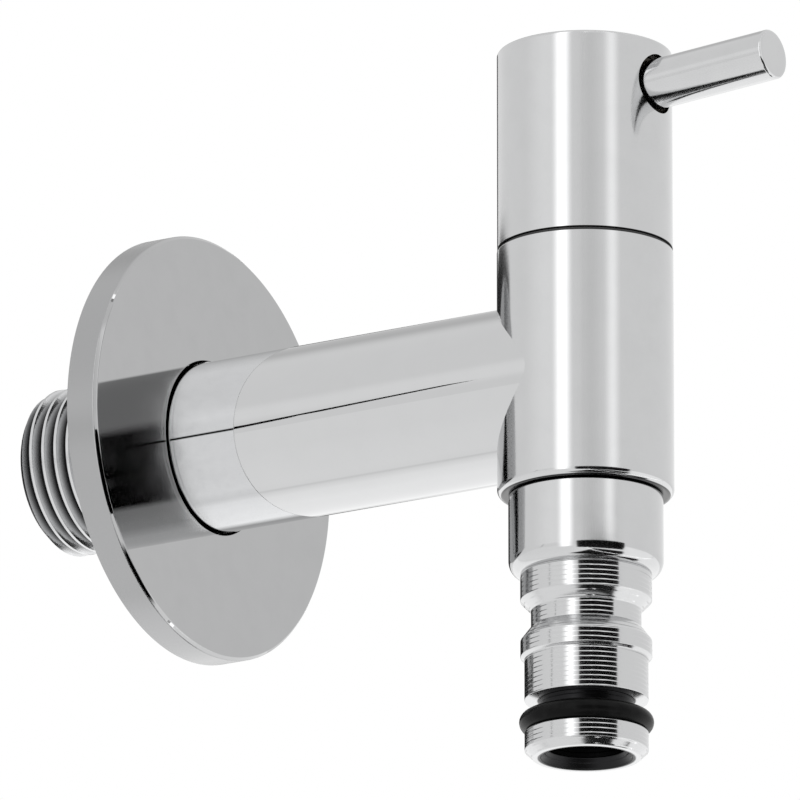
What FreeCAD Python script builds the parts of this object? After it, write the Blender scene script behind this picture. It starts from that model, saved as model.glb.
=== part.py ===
# Garden tap with a quarter-turn lever, a loose wall flange and a quick hose nose.
# Millimetres. The origin lies on the inlet axis in the wall plane: +Y goes into the wall,
# the tap stands out along -Y, and +Z is up.
import math
import os
import FreeCAD
import Part
import Sketcher

Vector = FreeCAD.Vector
Rotation = FreeCAD.Rotation

doc = FreeCAD.newDocument("garden_tap")
sheet = doc.addObject("Spreadsheet::Sheet", "Sizes")

sizes = {
    # inlet arm, from its pipe thread to the upright body
    "reach": 58.6,
    "armProud": 0.1725,
    "armBore": 14.0,
    "armBoreDepth": 59.7,
    "threadDiameter": 20.955,
    "threadPitch": 1.814,
    "threadDepth": 1.162,
    "threadLength": 18.6,
    "threadRunIn": 0.8,
    "threadLead": 1.1,
    "threadRootFlat": 0.24,
    "threadFlankAngle": 27.5,
    "threadCutAbove": 0.2,
    "spigotDiameter": 13.0,
    "spigotBore": 10.4,
    "spigotRoot": 6.0,
    "brazeGap": 0.05,
    # loose wall flange with its grip ring and gasket
    "flangeDiameter": 53.4,
    "flangeThick": 4.2,
    "flangePlate": 1.6,
    "flangeRim": 2.0,
    "flangeBevel": 0.4,
    "flangeFit": 0.35,
    "flangeHubWall": 2.8,
    "flangeHubSet": 0.6,
    "gripSection": 1.66,
    "gripFit": 0.05,
    "gasketWidth": 6.3,
    "gasketFit": 0.4,
    # upright body
    "bodyProud": 0.2,
    "bodyWall": 2.45,
    "bodyRim": 1.55,
    "bodyFootWall": 2.5,
    "bodyTop": 16.5,
    "bodyFoot": 14.5,
    "bodyEdgeRound": 0.8,
    "seatDrop": 6.2,
    "seatThick": 2.0,
    "seatBore": 9.2,
    "threadFit": 0.05,
    "cutOver": 1.0,
    # ceramic cartridge
    "housingThreadLength": 6.8,
    "housingGroove": 1.7,
    "housingGrooveDepth": 0.93,
    "housingFlangeThick": 1.2,
    "housingFlangeFit": 0.1,
    "housingGasket": 0.9,
    "hexGap": 0.17,
    "hexHeight": 4.0,
    "skirtSet": 1.25,
    "skirtWall": 0.8,
    "skirtRise": 1.0,
    "windowWidth": 6.4,
    "windowHeight": 5.6,
    "sealHeight": 3.0,
    "sealWidth": 1.5,
    "discGap": 0.3,
    "discThick": 3.0,
    "discFit": 0.1,
    "discWindowInner": 1.5,
    "discWindowRim": 1.1,
    "discWindowAngle": 80.0,
    "discLugWidth": 3.0,
    "runFit": 0.05,
    # spindle and what rides on it
    "footHeight": 4.0,
    "footFlange": 1.5,
    "footCore": 2.6,
    "tongueInset": 2.0,
    "tongueWidth": 2.0,
    "tongueDepth": 1.4,
    "slotFit": 0.1,
    "slideWasherThick": 0.8,
    "journalDiameter": 9.0,
    "spindleSealSection": 1.1,
    "spindleSealGroove": 1.5,
    "spindleSealRise": 2.5,
    "spindleSealStep": 3.4,
    "splineDiameter": 7.8,
    "splineRootDiameter": 6.9,
    "splineToothWidth": 0.6,
    "splineTeeth": 20,
    "splineFit": 0.05,
    "spindleTopGap": 1.5,
    "spindleTopFit": 0.4,
    "ringGap": 0.1,
    "clipGap": 0.15,
    "stopDepth": 2.5,
    "stopRingThick": 2.0,
    "stopRingDiameter": 10.4,
    "stopTabReach": 6.1,
    "stopTabRoot": 0.5,
    "stopTabAngle": 40.0,
    "stopPlay": 1.0,
    "quarterTurn": 90.0,
    "clipDiameter": 10.4,
    "clipThick": 0.8,
    "clipOpening": 60.0,
    "clipGrooveDiameter": 6.0,
    # handle
    "capInset": 0.05,
    "capTop": 42.0,
    "capGap": 0.35,
    "capWall": 1.4,
    "capRoof": 2.0,
    "capEdgeRound": 0.35,
    "guideLip": 1.7,
    "guideLipWall": 0.4,
    "guideInset": 0.25,
    "hubHeight": 16.5,
    "leverDiameter": 6.2,
    "leverDrop": 6.2,
    "leverTilt": 3.8,
    "leverStart": 7.0,
    "leverReach": 27.4,
    "leverEdgeRound": 0.4,
    "leverHoleFit": 0.6,
    "leverSeatFit": 0.1,
    "studDiameter": 5.0,
    "studLength": 9.0,
    "studTipGap": 0.3,
    # outlet bush and quick hose nose
    "collarDiameter": 19.0,
    "collarHeight": 10.0,
    "collarBevel": 0.75,
    "bushThreadLength": 4.6,
    "bushBore": 10.4,
    "bushLedge": 2.7,
    "washerInset": 0.1,
    "noseThread": 13.2,
    "noseWasherThick": 1.5,
    "noseRing": 16.1,
    "noseRingHeight": 3.3,
    "noseNeck": 13.5,
    "noseNeckCone": 1.3,
    "noseNeckHeight": 2.1,
    "noseShoulder": 1.7,
    "noseLowerRing": 2.0,
    "noseStep": 0.3,
    "noseShaft": 15.14,
    "noseShaftHeight": 5.2,
    "noseGroove": 4.0,
    "noseGrooveFloor": 11.5,
    "noseSealSection": 2.45,
    "noseSealDiameter": 16.46,
    "noseTipLand": 2.3,
    "noseTipCone": 0.9,
    "noseTipDiameter": 13.2,
    "noseMouth": 11.5,
    "noseMouthCone": 1.2,
    "noseBore": 9.4,
}


class Length:
    """A size with its value and the sheet expression that gives it."""

    def __init__(self, value, text):
        self.value = value
        self.text = text

    def __add__(self, other):
        return combined(self, "+", other)

    def __radd__(self, other):
        return combined(other, "+", self)

    def __sub__(self, other):
        return combined(self, "-", other)

    def __rsub__(self, other):
        return combined(other, "-", self)

    def __mul__(self, other):
        return combined(self, "*", other)

    def __rmul__(self, other):
        return combined(other, "*", self)

    def __truediv__(self, other):
        return combined(self, "/", other)

    def __neg__(self):
        return combined(0, "-", self)


def asLength(entry):
    if isinstance(entry, Length):
        return entry
    return Length(entry, repr(entry))


def sine(angle):
    return Length(math.sin(math.radians(angle.value)), f"sin({angle.text})")


def cosine(angle):
    return Length(math.cos(math.radians(angle.value)), f"cos({angle.text})")


def combined(left, sign, right):
    left = asLength(left)
    right = asLength(right)
    values = {
        "+": left.value + right.value,
        "-": left.value - right.value,
        "*": left.value * right.value,
    }
    if sign == "/":
        return Length(left.value / right.value, f"({left.text} / {right.text})")
    return Length(values[sign], f"({left.text} {sign} {right.text})")


def fillSheet():
    for row, (alias, number) in enumerate(sizes.items(), start=1):
        sheet.set(f"A{row}", alias)
        sheet.set(f"B{row}", str(number))
        sheet.setAlias(f"B{row}", alias)
    doc.recompute()


def size(alias):
    return Length(float(sheet.get(alias)), f"Sizes.{alias}")


def bind(thing, path, amount):
    thing.setExpression(path, asLength(amount).text)


def originPlane(body, role):
    for feature in body.Origin.OriginFeatures:
        if feature.Role == role:
            return feature
    raise RuntimeError(f"{body.Label} has no {role}")


def newBody(label):
    body = doc.addObject("PartDesign::Body", label)
    body.Label = label
    return body


def standOnBodyAxis(thing):
    bind(thing, "Placement.Base.y", -size("reach"))


def layAlongArm(thing, along):
    """Turn a piece made about Z so that its axis is the arm's, and set where it lies."""
    thing.Placement = FreeCAD.Placement(Vector(0, 0, 0), Rotation(Vector(1, 0, 0), 90))
    bind(thing, "Placement.Base.y", along)


def aimAlongLever(thing):
    """Turn a piece made about Z so that its axis is the lever's."""
    thing.Placement = FreeCAD.Placement(Vector(0, 0, 0), Rotation(Vector(1, 0, 0), 90))
    bind(thing, "Placement.Rotation.Angle", 90 - size("leverTilt"))
    bind(thing, "Placement.Base.y", -size("reach"))
    bind(thing, "Placement.Base.z", leverHeight)


def newSketch(body, role, height=None, swing=None):
    """Lay a sketch on an origin plane, raised off it or swung about its upright axis."""
    sketch = body.newObject("Sketcher::SketchObject", f"{body.Label}_sketch")
    sketch.AttachmentSupport = [(originPlane(body, role), "")]
    sketch.MapMode = "FlatFace"
    if height is not None:
        bind(sketch, "AttachmentOffset.Base.z", height)
    if swing is not None:
        sketch.AttachmentOffset = FreeCAD.Placement(Vector(0, 0, 0), Rotation(Vector(0, 1, 0), 1))
        bind(sketch, "AttachmentOffset.Rotation.Angle", swing)
    return sketch


def outline(sketch, points):
    """Draw a closed outline whose every corner is held by two bound distances."""
    corners = [(asLength(across), asLength(along)) for across, along in points]
    count = len(corners)
    lines = []
    for index, (across, along) in enumerate(corners):
        nextAcross, nextAlong = corners[(index + 1) % count]
        start = Vector(across.value, along.value, 0)
        end = Vector(nextAcross.value, nextAlong.value, 0)
        lines.append(Part.LineSegment(start, end))
    sketch.addGeometry(lines, False)
    joins = [Sketcher.Constraint("Coincident", index, 2, (index + 1) % count, 1) for index in range(count)]
    sketch.addConstraint(joins)
    for index, corner in enumerate(corners):
        for kind, amount in zip(("DistanceX", "DistanceY"), corner):
            place = sketch.addConstraint(Sketcher.Constraint(kind, -1, 1, index, 1, amount.value))
            bind(sketch, f"Constraints[{place}]", amount)


def circle(sketch, radius, across=0, along=0):
    radius = asLength(radius)
    sketch.addGeometry(Part.Circle(Vector(0, 0, 0), Vector(0, 0, 1), radius.value), False)
    place = sketch.addConstraint(Sketcher.Constraint("Radius", 0, radius.value))
    bind(sketch, f"Constraints[{place}]", radius)
    for kind, amount in (("DistanceX", asLength(across)), ("DistanceY", asLength(along))):
        place = sketch.addConstraint(Sketcher.Constraint(kind, -1, 1, 0, 3, amount.value))
        bind(sketch, f"Constraints[{place}]", amount)


def rectangle(left, right, low, high):
    return [(left, low), (right, low), (right, high), (left, high)]


def feature(body, kind, sketch):
    made = body.newObject(f"PartDesign::{kind}", f"{body.Label}_{kind}")
    made.Profile = sketch
    return made


def turned(body, points, role="XZ_Plane", axis="V_Axis", angle=360, swing=None):
    sketch = newSketch(body, role, swing=swing)
    outline(sketch, points)
    made = feature(body, "Revolution", sketch)
    made.ReferenceAxis = (sketch, [axis])
    bind(made, "Angle", angle)
    doc.recompute()
    return made


def turnedAway(body, points, role="XZ_Plane", axis="V_Axis", angle=360, midplane=False):
    volume = body.Shape.Volume
    sketch = newSketch(body, role)
    outline(sketch, points)
    made = feature(body, "Groove", sketch)
    made.ReferenceAxis = (sketch, [axis])
    made.Midplane = midplane
    bind(made, "Angle", angle)
    checkCut(body, volume)
    return made


def padded(body, sketch, length, reverse=False):
    made = feature(body, "Pad", sketch)
    made.Reversed = reverse
    bind(made, "Length", length)
    doc.recompute()
    return made


def pocketed(body, sketch, length, reverse=False, midplane=False):
    volume = body.Shape.Volume
    made = feature(body, "Pocket", sketch)
    made.Reversed = reverse
    made.Midplane = midplane
    bind(made, "Length", length)
    checkCut(body, volume)
    return made


def checkCut(body, volume):
    doc.recompute()
    if body.Shape.Volume > volume - 0.01:
        raise RuntimeError(f"a cut in {body.Label} takes nothing away")


def repeated(body, original, sketch, count, axis="N_Axis"):
    made = body.newObject("PartDesign::PolarPattern", f"{body.Label}_pattern")
    made.Originals = [original]
    made.Axis = (sketch, [axis])
    made.Angle = 360
    bind(made, "Occurrences", count)
    body.Tip = made
    doc.recompute()
    return made


def circleEdges(shape, radius, height):
    """Name the round edges about the body's own Z axis with this radius and height."""
    names = []
    for number, edge in enumerate(shape.Edges, start=1):
        if not isinstance(edge.Curve, Part.Circle):
            continue
        near = abs(edge.Curve.Radius - radius) < 0.001
        level = abs(edge.Curve.Center.z - height) < 0.001
        if near and level:
            names.append(f"Edge{number}")
    return names


def rounded(body, base, radius, height, amount):
    made = body.newObject("PartDesign::Fillet", f"{body.Label}_round")
    made.Base = (base, circleEdges(base.Shape, radius.value, height.value))
    bind(made, "Radius", amount)
    doc.recompute()
    return made


def splineTeeth(body, low, tall, fit, cut):
    """Add the spindle's spline teeth, or cut their notches with a fit round them."""
    root = size("splineRootDiameter") / 2
    tip = size("splineDiameter") / 2 + fit
    half = size("splineToothWidth") / 2 + fit
    sketch = newSketch(body, "XY_Plane", low)
    outline(sketch, rectangle(root - half, tip, -half, half))
    tooth = pocketed(body, sketch, tall, reverse=True) if cut else padded(body, sketch, tall)
    return repeated(body, tooth, sketch, size("splineTeeth"))


def leverBore(label, base, diameter, start, length):
    """Cut a round hole along the lever's axis, from its start to past the outside."""
    drill = doc.addObject("Part::Cylinder", f"{label}_drill")
    bind(drill, "Radius", diameter / 2)
    bind(drill, "Height", length)
    aimAlongLever(drill)
    bind(drill, "Placement.Base.y", -size("reach") - start * leverCosine)
    bind(drill, "Placement.Base.z", leverHeight + start * leverSine)
    cut = doc.addObject("Part::Cut", label)
    cut.Base = base
    cut.Tool = drill
    doc.recompute()
    return cut


def sealRing(label, section, middle):
    ring = doc.addObject("Part::Torus", label)
    bind(ring, "Radius1", middle)
    bind(ring, "Radius2", section / 2)
    return ring


fillSheet()

armRadius = size("threadDiameter") / 2 + size("armProud")
bodyRadius = armRadius + size("bodyProud")
capRadius = bodyRadius - size("capInset")
capBore = capRadius - size("capWall")
guideLipRadius = capBore - size("runFit")
guideBore = guideLipRadius - size("guideLipWall")
hexCorner = guideBore - size("hexGap")
hexHalf = hexCorner * cosine(asLength(30))
chamberRadius = bodyRadius - size("bodyWall")
counterbore = bodyRadius - size("bodyRim")
outletRadius = bodyRadius - size("bodyFootWall")
bushThread = outletRadius - size("threadFit")
housingThread = chamberRadius - size("threadFit")
skirtRadius = housingThread - size("skirtSet")
skirtBore = skirtRadius - size("skirtWall")
discRadius = skirtBore - size("discGap")
discWindowOuter = discRadius - size("discWindowRim")
tongueHalf = discRadius - size("tongueInset")
leverHeight = size("capTop") - size("leverDrop")
leverCosine = cosine(size("leverTilt"))
leverSine = sine(size("leverTilt"))

# Heights of the valve's stack, from the seat up, above the inlet axis
seatTop = -size("seatDrop")
fixedDiscLow = seatTop + size("sealHeight")
fixedDiscTop = fixedDiscLow + size("discThick")
movingDiscLow = fixedDiscTop + size("runFit")
movingDiscTop = movingDiscLow + size("discThick")
footLow = movingDiscTop + size("runFit")
footTop = footLow + size("footHeight")
slideWasherLow = footTop + size("runFit")
slideWasherTop = slideWasherLow + size("slideWasherThick")
housingShoulder = slideWasherTop + size("runFit")
hexTop = size("bodyTop") + size("hexHeight")
stopFloor = hexTop - size("stopDepth")
stopRingLow = stopFloor + size("ringGap")
stopRingTop = stopRingLow + size("stopRingThick")
clipLow = stopRingTop + size("clipGap")
clipTop = clipLow + size("clipThick")
capUnderRoof = size("capTop") - size("capRoof")
spindleTop = capUnderRoof - size("spindleTopGap")


def makeInletArm():
    """Chromed tube from the pipe thread to the saddle that is brazed to the body."""
    body = newBody("inlet_arm")
    bore = size("armBore") / 2
    neck = size("spigotBore") / 2
    end = size("threadLength")
    crest = size("threadDiameter") / 2
    root = crest - size("threadDepth")
    turned(body, [
        (end, bore),
        (end, root),
        (end - size("threadLead"), crest),
        (size("threadRunIn"), crest),
        (size("threadRunIn"), armRadius),
        (-size("reach"), armRadius),
        (-size("reach"), neck),
        (end - size("armBoreDepth"), neck),
        (end - size("armBoreDepth"), bore),
    ], role="YZ_Plane", axis="H_Axis")
    cope = newSketch(body, "XY_Plane")
    circle(cope, bodyRadius + size("brazeGap"), along=-size("reach"))
    pocketed(body, cope, armRadius * 4, midplane=True)
    spigot = size("spigotDiameter") / 2
    turned(body, rectangle(-size("reach"), size("spigotRoot") + bodyRadius - size("reach"), neck, spigot),
           role="YZ_Plane", axis="H_Axis")
    clearance = newSketch(body, "XY_Plane")
    circle(clearance, chamberRadius, along=-size("reach"))
    pocketed(body, clearance, armRadius * 4, midplane=True)
    cutPipeThread(body, crest, root)
    return body


def cutPipeThread(body, crest, root):
    """Cut the helical groove with flanks at the pipe thread's angle."""
    volume = body.Shape.Volume
    flank = sine(size("threadFlankAngle")) / cosine(size("threadFlankAngle"))
    above = size("threadCutAbove")
    start = size("threadLength") + size("threadPitch") / 2
    floor = size("threadRootFlat") / 2
    mouth = floor + (size("threadDepth") + above) * flank
    sketch = newSketch(body, "YZ_Plane")
    outline(sketch, [
        (start - mouth, crest + above),
        (start - floor, root),
        (start + floor, root),
        (start + mouth, crest + above),
    ])
    helix = feature(body, "SubtractiveHelix", sketch)
    helix.ReferenceAxis = (sketch, ["H_Axis"])
    helix.Mode = "pitch-height-angle"
    helix.Reversed = True
    bind(helix, "Pitch", size("threadPitch"))
    bind(helix, "Height", size("threadLength") - size("threadRunIn"))
    checkCut(body, volume)


def makeWallFlange():
    """Thick turned disc with a bevelled front edge and a recess behind."""
    body = newBody("wall_flange")
    rim = size("flangeDiameter") / 2
    front = -size("flangeThick")
    hole = armRadius + size("flangeFit")
    hub = hole + size("flangeHubWall")
    plateBack = front + size("flangePlate")
    grooveFloor = armRadius + size("gripFit") * 2 + size("gripSection")
    grooveMiddle = front / 2 - size("gripFit")
    grooveHalf = size("gripSection") / 2 + size("gripFit")
    turned(body, [
        (0, rim),
        (front + size("flangeBevel"), rim),
        (front, rim - size("flangeBevel")),
        (front, hole),
        (grooveMiddle - grooveHalf, hole),
        (grooveMiddle - grooveHalf, grooveFloor),
        (grooveMiddle + grooveHalf, grooveFloor),
        (grooveMiddle + grooveHalf, hole),
        (-size("flangeHubSet"), hole),
        (-size("flangeHubSet"), hub),
        (plateBack, hub),
        (plateBack, rim - size("flangeRim")),
        (0, rim - size("flangeRim")),
    ], role="YZ_Plane", axis="H_Axis")
    return body


def makeGripRing():
    ring = sealRing("flange_grip_ring", size("gripSection"),
                    armRadius + size("gripFit") + size("gripSection") / 2)
    layAlongArm(ring, -size("flangeThick") / 2 - size("gripFit"))
    return ring


def makeWallGasket():
    body = newBody("wall_gasket")
    outer = size("flangeDiameter") / 2 - size("flangeRim") - size("gasketFit")
    low = size("flangePlate") - size("flangeThick")
    turned(body, rectangle(low, 0, outer - size("gasketWidth"), outer), role="YZ_Plane", axis="H_Axis")
    return body


def makeTapBody():
    """Upright tube with the valve seat, the cartridge's bore and the outlet's bore."""
    body = newBody("tap_body")
    top = size("bodyTop")
    foot = -size("bodyFoot")
    seat = size("seatBore") / 2
    ledge = top - size("housingFlangeThick")
    tube = turned(body, [
        (seat, seatTop - size("seatThick")),
        (outletRadius, seatTop - size("seatThick")),
        (outletRadius, foot),
        (bodyRadius, foot),
        (bodyRadius, top),
        (counterbore, top),
        (counterbore, ledge),
        (chamberRadius, ledge),
        (chamberRadius, seatTop),
        (seat, seatTop),
    ])
    rounded(body, tube, bodyRadius, foot, size("bodyEdgeRound"))
    port = newSketch(body, "XZ_Plane")
    circle(port, size("spigotDiameter") / 2 + size("brazeGap"))
    pocketed(body, port, bodyRadius * 2)
    standOnBodyAxis(body)
    return body


def makeHousing():
    """Brass cartridge housing: hexagon, flange, thread and slotted skirt."""
    body = newBody("cartridge_housing")
    low = seatTop + size("skirtRise")
    grooveFloor = housingThread - size("housingGrooveDepth")
    flange = counterbore - size("housingFlangeFit")
    flangeLow = size("bodyTop") - size("housingFlangeThick")
    threadTop = flangeLow - size("housingGroove")
    threadLow = threadTop - size("housingThreadLength")
    journal = size("journalDiameter") / 2 + size("runFit")
    turned(body, [
        (0, low),
        (skirtRadius, low),
        (skirtRadius, threadLow - size("skirtSet")),
        (housingThread, threadLow),
        (housingThread, threadTop),
        (grooveFloor, threadTop),
        (grooveFloor, flangeLow),
        (flange, flangeLow),
        (flange, size("bodyTop")),
        (0, size("bodyTop")),
    ])
    hexagon = newSketch(body, "XY_Plane", size("bodyTop"))
    outline(hexagon, [
        (hexCorner, 0),
        (hexCorner / 2, hexHalf),
        (-hexCorner / 2, hexHalf),
        (-hexCorner, 0),
        (-hexCorner / 2, -hexHalf),
        (hexCorner / 2, -hexHalf),
    ])
    padded(body, hexagon, size("hexHeight"))
    over = hexTop + size("cutOver")
    under = low - size("cutOver")
    stop = size("stopRingDiameter") / 2 + size("discFit")
    turnedAway(body, [
        (0, under),
        (skirtBore, under),
        (skirtBore, housingShoulder),
        (journal, housingShoulder),
        (journal, stopFloor),
        (stop, stopFloor),
        (stop, over),
        (0, over),
    ])
    swing = size("quarterTurn") + size("stopTabAngle") + 2 * size("stopPlay")
    turnedAway(body, rectangle(journal, size("stopTabReach") + size("discFit"), stopFloor, over), angle=swing)
    windowLow = fixedDiscTop + size("discFit")
    windows = newSketch(body, "XZ_Plane")
    outline(windows, rectangle(-size("windowWidth") / 2, size("windowWidth") / 2,
                               windowLow, windowLow + size("windowHeight")))
    pocketed(body, windows, skirtRadius * 4, midplane=True)
    slots = newSketch(body, "YZ_Plane")
    slotHalf = size("discLugWidth") / 2 + size("slotFit")
    outline(slots, rectangle(-slotHalf, slotHalf, under, fixedDiscTop + size("runFit")))
    pocketed(body, slots, skirtRadius * 4, midplane=True)
    standOnBodyAxis(body)
    return body


def makeHousingSeal():
    low = size("bodyTop") - size("housingFlangeThick") - size("housingGroove")
    grooveFloor = housingThread - size("housingGrooveDepth")
    ring = sealRing("cartridge_o_ring", size("housingGasket"),
                    grooveFloor + size("runFit") + size("housingGasket") / 2)
    standOnBodyAxis(ring)
    bind(ring, "Placement.Base.z", low + size("housingGroove") / 2)
    return ring


def makeSeatSeal():
    body = newBody("seat_seal")
    outer = skirtBore - size("runFit")
    turned(body, rectangle(outer - size("sealWidth"), outer, seatTop, fixedDiscLow))
    standOnBodyAxis(body)
    return body


def makeFixedDisc():
    """Ceramic disc held by two lugs, with a pair of windows for the water."""
    body = newBody("fixed_disc")
    radius = discRadius + size("runFit")
    over = size("cutOver")
    turned(body, [(0, fixedDiscLow), (radius, fixedDiscLow), (radius, fixedDiscTop), (0, fixedDiscTop)])
    lugs = newSketch(body, "XY_Plane", fixedDiscLow)
    reach = skirtRadius - size("slotFit")
    outline(lugs, rectangle(-reach, reach, -size("discLugWidth") / 2, size("discLugWidth") / 2))
    padded(body, lugs, size("discThick"))
    window = turnedAway(body, rectangle(size("discWindowInner"), discWindowOuter,
                                        fixedDiscLow - over, fixedDiscTop + over),
                        angle=size("discWindowAngle"), midplane=True)
    repeated(body, window, window.Profile[0], 2, axis="V_Axis")
    standOnBodyAxis(body)
    return body


def makeMovingDisc():
    """Ceramic disc that turns with the spindle: open at its sides, slotted on top."""
    body = newBody("moving_disc")
    over = size("cutOver")
    turned(body, [
        (0, movingDiscLow),
        (discRadius, movingDiscLow),
        (discRadius, movingDiscTop),
        (0, movingDiscTop),
    ])
    window = turnedAway(body, rectangle(size("discWindowInner"), discRadius + over,
                                        movingDiscLow - over, movingDiscTop + over),
                        role="YZ_Plane", angle=size("discWindowAngle"), midplane=True)
    repeated(body, window, window.Profile[0], 2, axis="V_Axis")
    slot = newSketch(body, "XY_Plane", movingDiscTop)
    halfLength = tongueHalf + size("slotFit")
    halfWidth = size("tongueWidth") / 2 + size("slotFit")
    outline(slot, rectangle(-halfLength, halfLength, -halfWidth, halfWidth))
    pocketed(body, slot, size("tongueDepth") + size("slotFit"))
    standOnBodyAxis(body)
    return body


def makeSpindle():
    """Brass spindle: driving foot, sealed journal and splined head."""
    body = newBody("cartridge_spindle")
    journal = size("journalDiameter") / 2
    floor = journal - size("spindleSealSection") - size("runFit")
    root = size("splineRootDiameter") / 2
    splineLow = stopFloor - size("ringGap")
    profile = [(0, footLow), (discRadius, footLow), (discRadius, footTop), (journal, footTop)]
    for height in spindleSealHeights():
        low = height - size("spindleSealGroove") / 2
        high = height + size("spindleSealGroove") / 2
        profile += [(journal, low), (floor, low), (floor, high), (journal, high)]
    profile += [(journal, splineLow), (root, splineLow), (root, spindleTop), (0, spindleTop)]
    turned(body, profile)
    splineTeeth(body, splineLow, spindleTop - splineLow, 0, cut=False)
    clipFloor = size("clipGrooveDiameter") / 2
    turnedAway(body, rectangle(clipFloor, journal, clipLow - size("runFit"), clipTop + size("runFit")))
    over = size("cutOver")
    flangeLow = footTop - size("footFlange")
    side = turnedAway(body, rectangle(size("footCore"), discRadius + over, footLow - over, flangeLow),
                      role="YZ_Plane", angle=size("discWindowAngle"), midplane=True)
    repeated(body, side, side.Profile[0], 2, axis="V_Axis")
    tongue = newSketch(body, "XY_Plane", footLow)
    outline(tongue, rectangle(-tongueHalf, tongueHalf, -size("tongueWidth") / 2, size("tongueWidth") / 2))
    padded(body, tongue, size("tongueDepth"), reverse=True)
    standOnBodyAxis(body)
    return body


def spindleSealHeights():
    first = housingShoulder + size("spindleSealRise")
    return [first, first + size("spindleSealStep")]


def makeSpindleSeals():
    rings = []
    for number, height in enumerate(spindleSealHeights(), start=1):
        ring = sealRing(f"spindle_seal_{number}", size("spindleSealSection"),
                        size("journalDiameter") / 2 - size("spindleSealSection") / 2)
        standOnBodyAxis(ring)
        bind(ring, "Placement.Base.z", height)
        rings.append(ring)
    pair = doc.addObject("Part::Compound", "spindle_o_rings")
    pair.Links = rings
    doc.recompute()
    return pair


def makeSlideWasher():
    body = newBody("slide_washer")
    inner = size("journalDiameter") / 2 + size("discFit")
    outer = skirtBore - size("discFit")
    turned(body, rectangle(inner, outer, slideWasherLow, slideWasherTop))
    standOnBodyAxis(body)
    return body


def makeStopRing():
    """Ring on the spline whose tab runs in the housing's quarter-turn pocket."""
    body = newBody("stop_ring")
    bore = size("splineRootDiameter") / 2 + size("splineFit")
    outer = size("stopRingDiameter") / 2
    turned(body, rectangle(bore, outer, stopRingLow, stopRingTop))
    tabRoot = outer - size("stopTabRoot")
    turned(body, rectangle(tabRoot, size("stopTabReach"), stopRingLow, stopRingTop),
           angle=size("stopTabAngle"), swing=size("stopPlay"))
    over = size("cutOver")
    splineTeeth(body, stopRingLow - over, size("stopRingThick") + 2 * over, size("splineFit"), cut=True)
    standOnBodyAxis(body)
    return body


def makeSpindleClip():
    body = newBody("spindle_clip")
    inner = size("clipGrooveDiameter") / 2 + size("runFit")
    outer = size("clipDiameter") / 2
    turned(body, rectangle(inner, outer, clipLow, clipTop), angle=360 - size("clipOpening"))
    standOnBodyAxis(body)
    return body


def makeGuideRing():
    """Plastic ring that the cap turns on: a thin washer with a centring lip."""
    body = newBody("guide_ring")
    low = size("bodyTop")
    flat = low + size("capGap") - size("runFit")
    outer = capRadius - size("guideInset")
    turned(body, [
        (guideBore, low),
        (outer, low),
        (outer, flat),
        (guideLipRadius, flat),
        (guideLipRadius, flat + size("guideLip")),
        (guideBore, flat + size("guideLip")),
    ])
    standOnBodyAxis(body)
    return body


def makeCap():
    """Closed chrome cap that turns with the lever."""
    body = newBody("handle_cap_blank")
    low = size("bodyTop") + size("capGap")
    shell = turned(body, [
        (capBore, low),
        (capRadius, low),
        (capRadius, size("capTop")),
        (0, size("capTop")),
        (0, capUnderRoof),
        (capBore, capUnderRoof),
    ])
    rounded(body, shell, capRadius, size("capTop"), size("capEdgeRound"))
    standOnBodyAxis(body)
    return leverBore("handle_cap", body, size("leverDiameter") + 2 * size("leverHoleFit"),
                     size("leverStart"), capRadius * 2)


def makeHub():
    """Insert pressed into the cap: splined on the spindle, tapped for the lever's stud."""
    body = newBody("handle_hub_blank")
    low = capUnderRoof - size("hubHeight")
    bore = size("splineRootDiameter") / 2 + size("splineFit")
    boreTop = spindleTop + size("spindleTopFit")
    radius = capBore - size("runFit")
    turned(body, [
        (bore, low),
        (radius, low),
        (radius, capUnderRoof),
        (0, capUnderRoof),
        (0, boreTop),
        (bore, boreTop),
    ])
    over = size("cutOver")
    splineTeeth(body, low - over, boreTop - low + over, size("splineFit"), cut=True)
    standOnBodyAxis(body)
    seated = leverBore("handle_hub_seated", body, size("leverDiameter") + 2 * size("leverSeatFit"),
                       size("leverStart"), capRadius * 2)
    return leverBore("handle_hub", seated, size("studDiameter") + 2 * size("threadFit"),
                     asLength(0), capRadius * 2)


def makeLever():
    """Round lever rod, tapped at its root and softly rounded at its tip."""
    body = newBody("lever_rod")
    radius = size("leverDiameter") / 2
    tapped = size("studDiameter") / 2 + size("threadFit")
    depth = studStart() + size("studLength") + size("studTipGap")
    rod = turned(body, [
        (tapped, size("leverStart")),
        (radius, size("leverStart")),
        (radius, size("leverReach")),
        (0, size("leverReach")),
        (0, depth),
        (tapped, depth),
    ])
    rounded(body, rod, radius, size("leverReach"), size("leverEdgeRound"))
    aimAlongLever(body)
    return body


def studStart():
    return size("splineDiameter") / 2 + size("studTipGap")


def makeStud():
    body = newBody("lever_stud")
    start = studStart()
    end = start + size("studLength")
    radius = size("studDiameter") / 2
    turned(body, [(0, start), (radius, start), (radius, end), (0, end)])
    aimAlongLever(body)
    return body


bushTop = -size("bodyFoot") + size("bushThreadLength")
collarLow = -size("bodyFoot") - size("collarHeight")
bushLedge = bushTop - size("bushLedge")


def makeOutletBush():
    """Plain collar under the body, screwed in above and tapped for the nose below."""
    body = newBody("outlet_bush")
    collar = size("collarDiameter") / 2
    nose = size("noseThread") / 2 + size("threadFit")
    bore = size("bushBore") / 2
    turned(body, [
        (bore, bushTop),
        (bushThread, bushTop),
        (bushThread, -size("bodyFoot")),
        (collar, -size("bodyFoot")),
        (collar, collarLow + size("collarBevel")),
        (collar - size("collarBevel"), collarLow),
        (nose, collarLow),
        (nose, bushLedge),
        (bore, bushLedge),
    ])
    standOnBodyAxis(body)
    return body


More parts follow.
